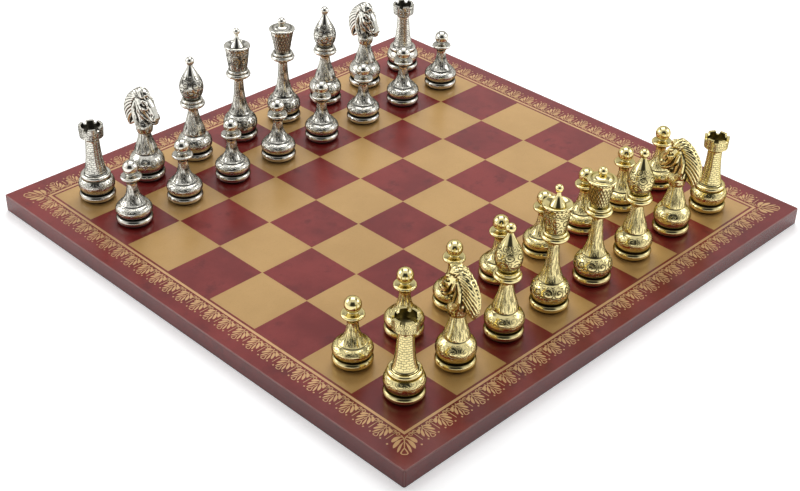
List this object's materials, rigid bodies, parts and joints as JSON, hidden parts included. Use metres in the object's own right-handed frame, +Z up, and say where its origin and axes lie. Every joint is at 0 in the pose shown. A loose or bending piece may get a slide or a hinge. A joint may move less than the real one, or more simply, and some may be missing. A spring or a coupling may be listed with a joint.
{
  "type": "chess set with board",
  "caption": "Square leatherette chessboard with gold foil squares and border, set up with turned cast-metal men in gold and antique silver, each lifting off its square.",
  "frame": {"origin": "middle of the board's underside", "axes": "+Z up; files a to h run along +X and ranks 1 to 8 along +Y, so the gold men stand at -Y and the silver men at +Y"},
  "size_m": [0.35, 0.35, 0.0894],
  "materials": {
    "core_panel": "raw wood-fibre panel",
    "leatherette": "mottled burgundy grain",
    "backing_cloth": "dark felted cloth",
    "gold_foil": "satin gold foil",
    "gold_metal": "polished gold plate, engraved",
    "silver_metal": "antique silver plate, engraved",
    "pad_cloth": "dark felt"
  },
  "bodies": {
    "board": {"board_core": "core_panel", "board_cover": "leatherette", "board_backing": "backing_cloth", "gold_squares": "gold_foil", "gold_line": "gold_foil"},
    "gold_rook_a": {"gold_rook_a": "gold_metal", "gold_rook_a_pad": "pad_cloth"},
    "gold_knight_b": {"gold_knight_b": "gold_metal", "gold_knight_b_pad": "pad_cloth"},
    "gold_bishop_c": {"gold_bishop_c": "gold_metal", "gold_bishop_c_pad": "pad_cloth"},
    "gold_king": {"gold_king": "gold_metal", "gold_king_pad": "pad_cloth"},
    "gold_queen": {"gold_queen": "gold_metal", "gold_queen_pad": "pad_cloth"},
    "gold_bishop_f": {"gold_bishop_f": "gold_metal", "gold_bishop_f_pad": "pad_cloth"},
    "gold_knight_g": {"gold_knight_g": "gold_metal", "gold_knight_g_pad": "pad_cloth"},
    "gold_rook_h": {"gold_rook_h": "gold_metal", "gold_rook_h_pad": "pad_cloth"},
    "gold_pawn_a": {"gold_pawn_a": "gold_metal"},
    "gold_pawn_b": {"gold_pawn_b": "gold_metal"},
    "gold_pawn_c": {"gold_pawn_c": "gold_metal"},
    "gold_pawn_d": {"gold_pawn_d": "gold_metal"},
    "gold_pawn_e": {"gold_pawn_e": "gold_metal"},
    "gold_pawn_f": {"gold_pawn_f": "gold_metal"},
    "gold_pawn_g": {"gold_pawn_g": "gold_metal"},
    "gold_pawn_h": {"gold_pawn_h": "gold_metal"},
    "silver_rook_a": {"silver_rook_a": "silver_metal", "silver_rook_a_pad": "pad_cloth"},
    "silver_knight_b": {"silver_knight_b": "silver_metal", "silver_knight_b_pad": "pad_cloth"},
    "silver_bishop_c": {"silver_bishop_c": "silver_metal", "silver_bishop_c_pad": "pad_cloth"},
    "silver_king": {"silver_king": "silver_metal", "silver_king_pad": "pad_cloth"},
    "silver_queen": {"silver_queen": "silver_metal", "silver_queen_pad": "pad_cloth"},
    "silver_bishop_f": {"silver_bishop_f": "silver_metal", "silver_bishop_f_pad": "pad_cloth"},
    "silver_knight_g": {"silver_knight_g": "silver_metal", "silver_knight_g_pad": "pad_cloth"},
    "silver_rook_h": {"silver_rook_h": "silver_metal", "silver_rook_h_pad": "pad_cloth"},
    "silver_pawn_a": {"silver_pawn_a": "silver_metal"},
    "silver_pawn_b": {"silver_pawn_b": "silver_metal"},
    "silver_pawn_c": {"silver_pawn_c": "silver_metal"},
    "silver_pawn_d": {"silver_pawn_d": "silver_metal"},
    "silver_pawn_e": {"silver_pawn_e": "silver_metal"},
    "silver_pawn_f": {"silver_pawn_f": "silver_metal"},
    "silver_pawn_g": {"silver_pawn_g": "silver_metal"},
    "silver_pawn_h": {"silver_pawn_h": "silver_metal"}
  },
  "joints": [
    {"name": "gold_rook_a_lift", "type": "slide", "parent": "board", "child": "gold_rook_a", "axis": [0, 0, 1], "range_m": [0, 0.1]},
    {"name": "gold_knight_b_lift", "type": "slide", "parent": "board", "child": "gold_knight_b", "axis": [0, 0, 1], "range_m": [0, 0.1]},
    {"name": "gold_bishop_c_lift", "type": "slide", "parent": "board", "child": "gold_bishop_c", "axis": [0, 0, 1], "range_m": [0, 0.1]},
    {"name": "gold_king_lift", "type": "slide", "parent": "board", "child": "gold_king", "axis": [0, 0, 1], "range_m": [0, 0.1]},
    {"name": "gold_queen_lift", "type": "slide", "parent": "board", "child": "gold_queen", "axis": [0, 0, 1], "range_m": [0, 0.1]},
    {"name": "gold_bishop_f_lift", "type": "slide", "parent": "board", "child": "gold_bishop_f", "axis": [0, 0, 1], "range_m": [0, 0.1]},
    {"name": "gold_knight_g_lift", "type": "slide", "parent": "board", "child": "gold_knight_g", "axis": [0, 0, 1], "range_m": [0, 0.1]},
    {"name": "gold_rook_h_lift", "type": "slide", "parent": "board", "child": "gold_rook_h", "axis": [0, 0, 1], "range_m": [0, 0.1]},
    {"name": "gold_pawn_a_lift", "type": "slide", "parent": "board", "child": "gold_pawn_a", "axis": [0, 0, 1], "range_m": [0, 0.1]},
    {"name": "gold_pawn_b_lift", "type": "slide", "parent": "board", "child": "gold_pawn_b", "axis": [0, 0, 1], "range_m": [0, 0.1]},
    {"name": "gold_pawn_c_lift", "type": "slide", "parent": "board", "child": "gold_pawn_c", "axis": [0, 0, 1], "range_m": [0, 0.1]},
    {"name": "gold_pawn_d_lift", "type": "slide", "parent": "board", "child": "gold_pawn_d", "axis": [0, 0, 1], "range_m": [0, 0.1]},
    {"name": "gold_pawn_e_lift", "type": "slide", "parent": "board", "child": "gold_pawn_e", "axis": [0, 0, 1], "range_m": [0, 0.1]},
    {"name": "gold_pawn_f_lift", "type": "slide", "parent": "board", "child": "gold_pawn_f", "axis": [0, 0, 1], "range_m": [0, 0.1]},
    {"name": "gold_pawn_g_lift", "type": "slide", "parent": "board", "child": "gold_pawn_g", "axis": [0, 0, 1], "range_m": [0, 0.1]},
    {"name": "gold_pawn_h_lift", "type": "slide", "parent": "board", "child": "gold_pawn_h", "axis": [0, 0, 1], "range_m": [0, 0.1]},
    {"name": "silver_rook_a_lift", "type": "slide", "parent": "board", "child": "silver_rook_a", "axis": [0, 0, 1], "range_m": [0, 0.1]},
    {"name": "silver_knight_b_lift", "type": "slide", "parent": "board", "child": "silver_knight_b", "axis": [0, 0, 1], "range_m": [0, 0.1]},
    {"name": "silver_bishop_c_lift", "type": "slide", "parent": "board", "child": "silver_bishop_c", "axis": [0, 0, 1], "range_m": [0, 0.1]},
    {"name": "silver_king_lift", "type": "slide", "parent": "board", "child": "silver_king", "axis": [0, 0, 1], "range_m": [0, 0.1]},
    {"name": "silver_queen_lift", "type": "slide", "parent": "board", "child": "silver_queen", "axis": [0, 0, 1], "range_m": [0, 0.1]},
    {"name": "silver_bishop_f_lift", "type": "slide", "parent": "board", "child": "silver_bishop_f", "axis": [0, 0, 1], "range_m": [0, 0.1]},
    {"name": "silver_knight_g_lift", "type": "slide", "parent": "board", "child": "silver_knight_g", "axis": [0, 0, 1], "range_m": [0, 0.1]},
    {"name": "silver_rook_h_lift", "type": "slide", "parent": "board", "child": "silver_rook_h", "axis": [0, 0, 1], "range_m": [0, 0.1]},
    {"name": "silver_pawn_a_lift", "type": "slide", "parent": "board", "child": "silver_pawn_a", "axis": [0, 0, 1], "range_m": [0, 0.1]},
    {"name": "silver_pawn_b_lift", "type": "slide", "parent": "board", "child": "silver_pawn_b", "axis": [0, 0, 1], "range_m": [0, 0.1]},
    {"name": "silver_pawn_c_lift", "type": "slide", "parent": "board", "child": "silver_pawn_c", "axis": [0, 0, 1], "range_m": [0, 0.1]},
    {"name": "silver_pawn_d_lift", "type": "slide", "parent": "board", "child": "silver_pawn_d", "axis": [0, 0, 1], "range_m": [0, 0.1]},
    {"name": "silver_pawn_e_lift", "type": "slide", "parent": "board", "child": "silver_pawn_e", "axis": [0, 0, 1], "range_m": [0, 0.1]},
    {"name": "silver_pawn_f_lift", "type": "slide", "parent": "board", "child": "silver_pawn_f", "axis": [0, 0, 1], "range_m": [0, 0.1]},
    {"name": "silver_pawn_g_lift", "type": "slide", "parent": "board", "child": "silver_pawn_g", "axis": [0, 0, 1], "range_m": [0, 0.1]},
    {"name": "silver_pawn_h_lift", "type": "slide", "parent": "board", "child": "silver_pawn_h", "axis": [0, 0, 1], "range_m": [0, 0.1]}
  ]
}
